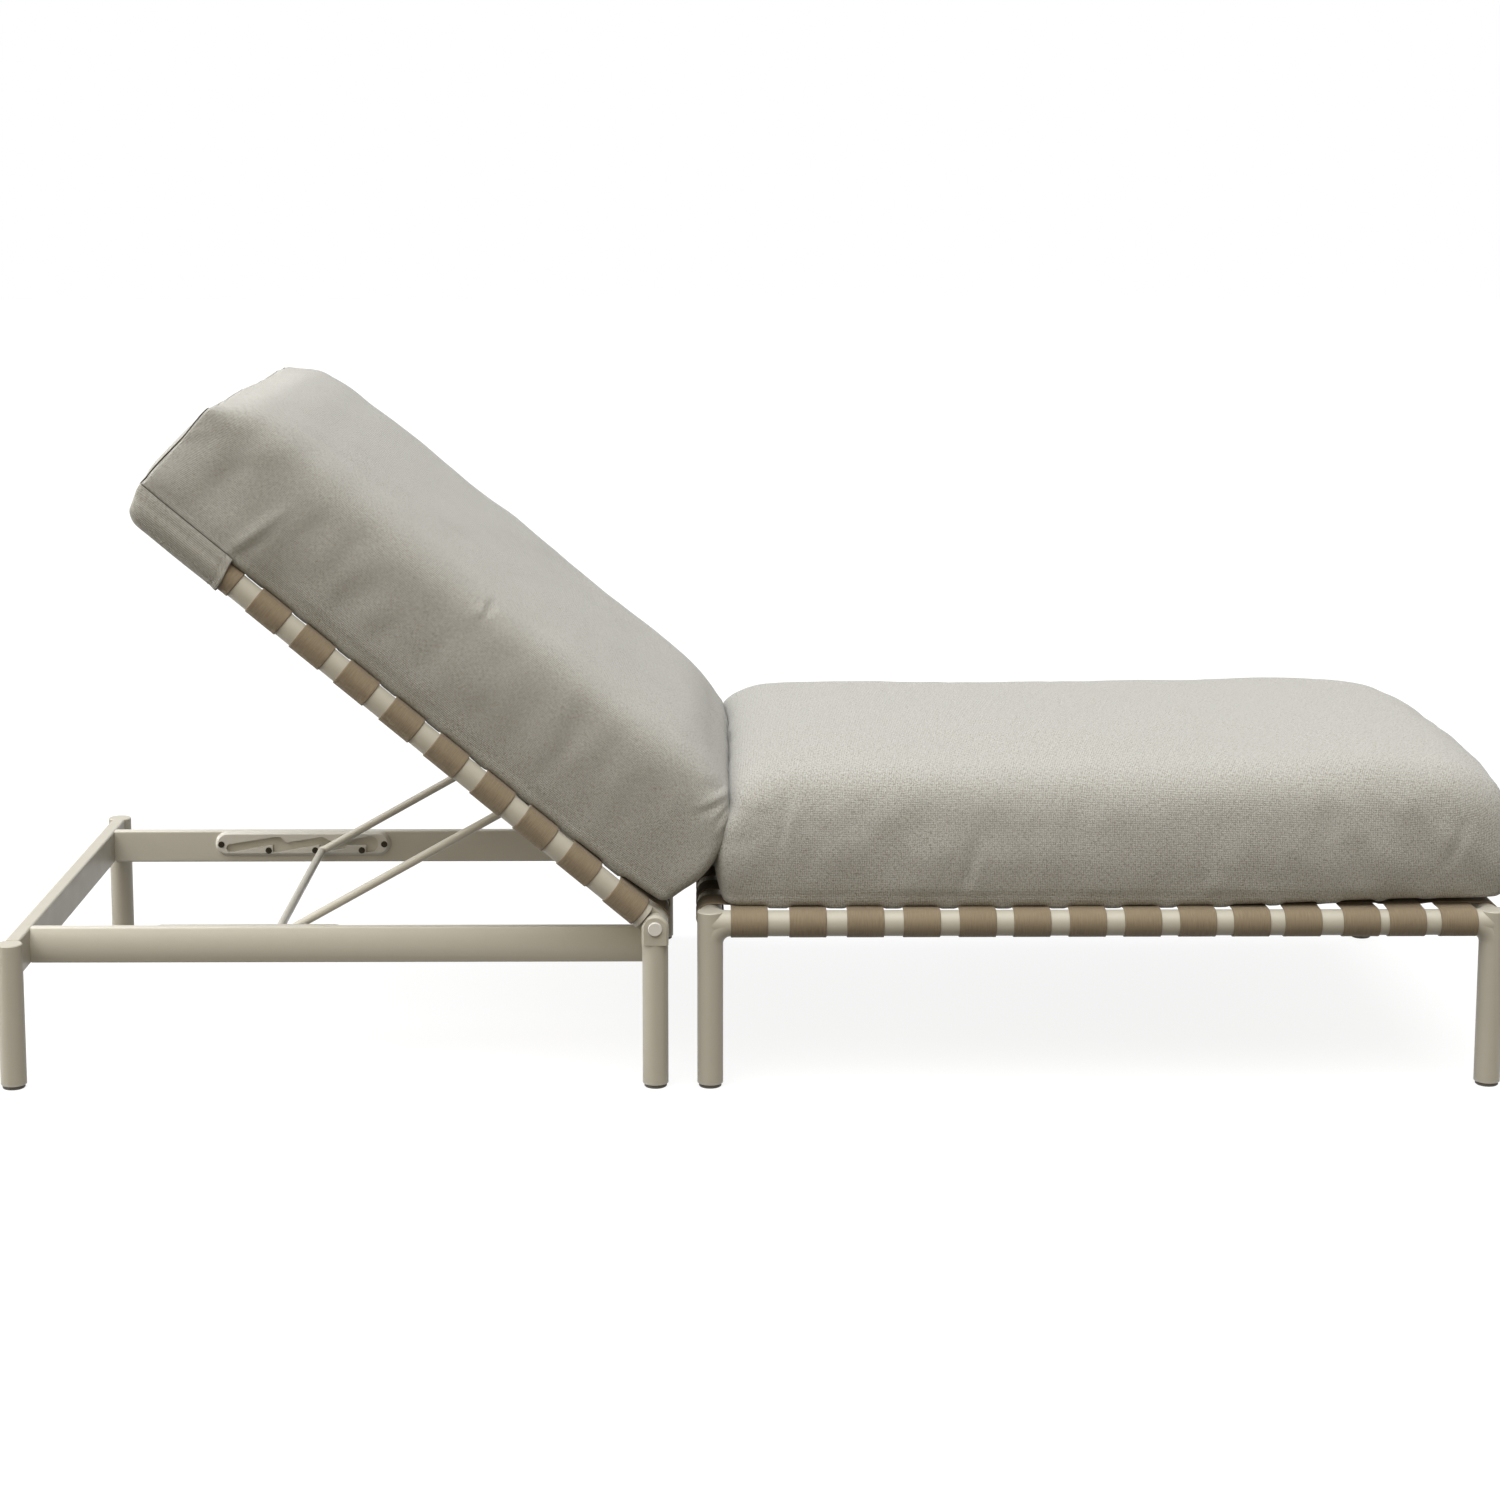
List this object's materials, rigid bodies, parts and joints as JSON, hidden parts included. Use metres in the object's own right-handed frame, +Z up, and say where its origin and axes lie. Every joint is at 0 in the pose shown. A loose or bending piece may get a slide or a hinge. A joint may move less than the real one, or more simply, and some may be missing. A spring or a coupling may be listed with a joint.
{
  "type": "reclining sun lounger",
  "caption": "Sun lounger of round tube strung with webbing: a low base with a tilting padded back held by a rod prop in toothed racks, and a padded seat frame beside it.",
  "frame": {"origin": "on the ground under the middle of the lounger's box at rest", "axes": "+X towards the foot end, +Y towards the lounger's left side, +Z up"},
  "size_m": [2.035, 0.793, 0.9245],
  "materials": {
    "frame_coat": "matte",
    "webbing": "matte",
    "cushion_cloth": "matte",
    "rack_plate": "satin",
    "black_screws": "satin",
    "bolt_cap": "satin",
    "bush_plastic": "satin",
    "glide_pad": "matte",
    "glide_ring": "satin",
    "pivot_steel": "satin"
  },
  "bodies": {
    "base": {"base_leg_head_right": "frame_coat", "base_leg_head_left": "frame_coat", "base_leg_hinge_right": "frame_coat", "base_leg_hinge_left": "frame_coat", "base_leg_caps": "frame_coat", "head_cross_rail": "frame_coat", "hinge_cross_rail": "frame_coat", "side_rail_right": "frame_coat", "side_rail_left": "frame_coat", "rack_plate_right": "rack_plate", "rack_plate_left": "rack_plate", "rack_screws": "black_screws", "hinge_knuckle_right": "frame_coat", "hinge_knuckle_left": "frame_coat", "hinge_bushes": "bush_plastic", "seat_corner_near_right": "frame_coat", "seat_corner_near_left": "frame_coat", "seat_corner_foot_right": "frame_coat", "seat_corner_foot_left": "frame_coat", "seat_leg_near_right": "frame_coat", "seat_leg_near_left": "frame_coat", "seat_leg_foot_right": "frame_coat", "seat_leg_foot_left": "frame_coat", "seat_side_tube_right": "frame_coat", "seat_side_tube_left": "frame_coat", "seat_end_tube_near": "frame_coat", "seat_end_tube_foot": "frame_coat", "seat_straps_across": "webbing", "seat_straps_along": "webbing", "seat_cushion": "cushion_cloth", "glide_rings": "glide_ring", "glide_pads": "glide_pad"},
    "back": {"hinge_bolt_right": "bolt_cap", "hinge_bolt_left": "bolt_cap", "hinge_washers": "bush_plastic", "back_corner_hinge_right": "frame_coat", "back_corner_hinge_left": "frame_coat", "back_corner_head_right": "frame_coat", "back_corner_head_left": "frame_coat", "back_side_tube_right": "frame_coat", "back_side_tube_left": "frame_coat", "back_head_tube": "frame_coat", "back_foot_tube": "frame_coat", "back_cross_tube": "frame_coat", "prop_lugs": "frame_coat", "prop_pivot_pins": "pivot_steel", "back_straps_across": "webbing", "back_straps_along": "webbing", "back_cushion": "cushion_cloth", "pocket_underside": "cushion_cloth", "pocket_end": "cushion_cloth", "pocket_sides": "cushion_cloth"},
    "prop": {"prop_arm_right": "frame_coat", "prop_arm_left": "frame_coat", "prop_crossbar": "frame_coat"}
  },
  "joints": [
    {"name": "back_recline", "type": "hinge", "parent": "base", "child": "back", "pos_m": [-0.131, 0, 0.223], "axis": [0, 1, 0], "range_deg": [-40, 15]},
    {"name": "prop_swing", "type": "hinge", "parent": "back", "child": "prop", "pos_m": [-0.33438, 0, 0.35711], "axis": [0, 1, 0], "range_deg": [-25, 66]}
  ],
  "couplings": [
    {"joint": "prop_swing", "follows": "back_recline", "ratio": -1.64}
  ]
}
